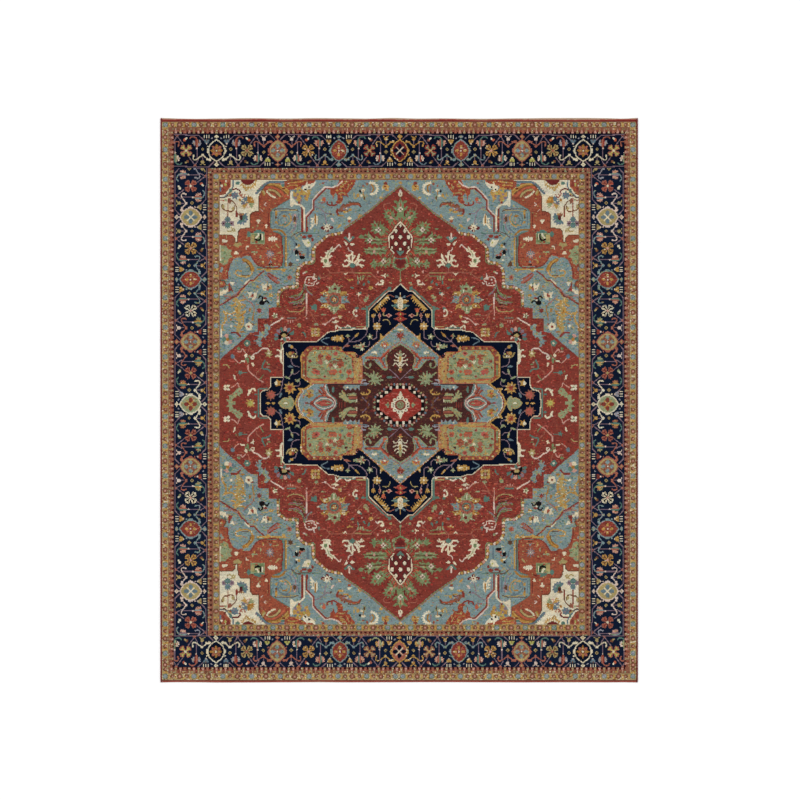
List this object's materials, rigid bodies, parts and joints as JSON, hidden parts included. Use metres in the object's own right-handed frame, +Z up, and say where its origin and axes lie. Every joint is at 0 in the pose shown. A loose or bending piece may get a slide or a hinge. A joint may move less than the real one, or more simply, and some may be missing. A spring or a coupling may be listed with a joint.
{
  "type": "hand-knotted wool rug",
  "caption": "Flat rectangular knotted wool floor rug with cut pile, flatwoven ends and a wool-bound cord along each long side.",
  "frame": {"origin": "middle of the rug's footprint, on the floor", "axes": "+Z up out of the pile, +Y along the warps from the near end to the far end, +X across the rug"},
  "size_m": [3.05, 3.6063, 0.011],
  "materials": {
    "pile_wool": "cut wool pile",
    "cord_wool": "wrapped wool yarn"
  },
  "bodies": {
    "root": {"knotted_cloth": "pile_wool", "side_cord_left": "cord_wool", "side_cord_right": "cord_wool"}
  },
  "joints": []
}
